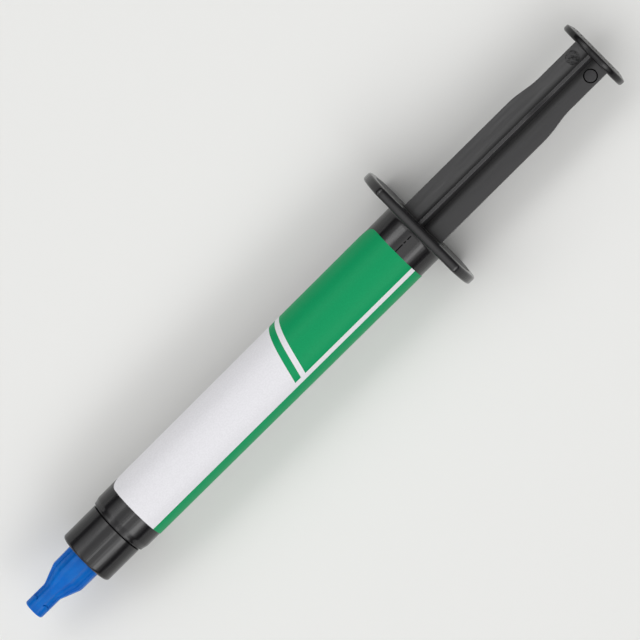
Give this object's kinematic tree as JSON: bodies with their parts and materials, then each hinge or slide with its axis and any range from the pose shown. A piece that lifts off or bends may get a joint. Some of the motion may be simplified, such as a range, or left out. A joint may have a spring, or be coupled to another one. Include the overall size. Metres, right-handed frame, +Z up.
{
  "type": "adhesive syringe",
  "caption": "Small luer-lock dispensing syringe lying on its side, with a black barrel, a white and green label, a ribbed plunger and a blue tip cap.",
  "frame": {"origin": "bottom centre of the bounding box of the lying syringe, on the surface that the finger flange rests on", "axes": "+X along the syringe from the tip cap to the thumb pad, +Y along the finger flange, +Z up"},
  "size_m": [0.1196, 0.0224, 0.0154],
  "materials": {
    "black_polypropylene": "satin moulded",
    "label_film": "printed gloss film, white with green fields",
    "blue_polyethylene": "semi-gloss moulded",
    "piston_rubber": "smooth",
    "adhesive_paste": "wet"
  },
  "bodies": {
    "barrel": {"barrel": "black_polypropylene", "label": "label_film", "adhesive": "adhesive_paste"},
    "plunger": {"plunger_rod": "black_polypropylene", "piston": "piston_rubber"},
    "cap": {"tip_cap": "blue_polyethylene"}
  },
  "joints": [
    {"name": "plunger_slide", "type": "slide", "parent": "barrel", "child": "plunger", "axis": [1, 0, 0], "range_m": [-0.0273, 0.026], "deforming": ["adhesive"]},
    {"name": "cap_pull", "type": "slide", "parent": "barrel", "child": "cap", "axis": [-1, 0, 0], "range_m": [0, 0.01]}
  ]
}
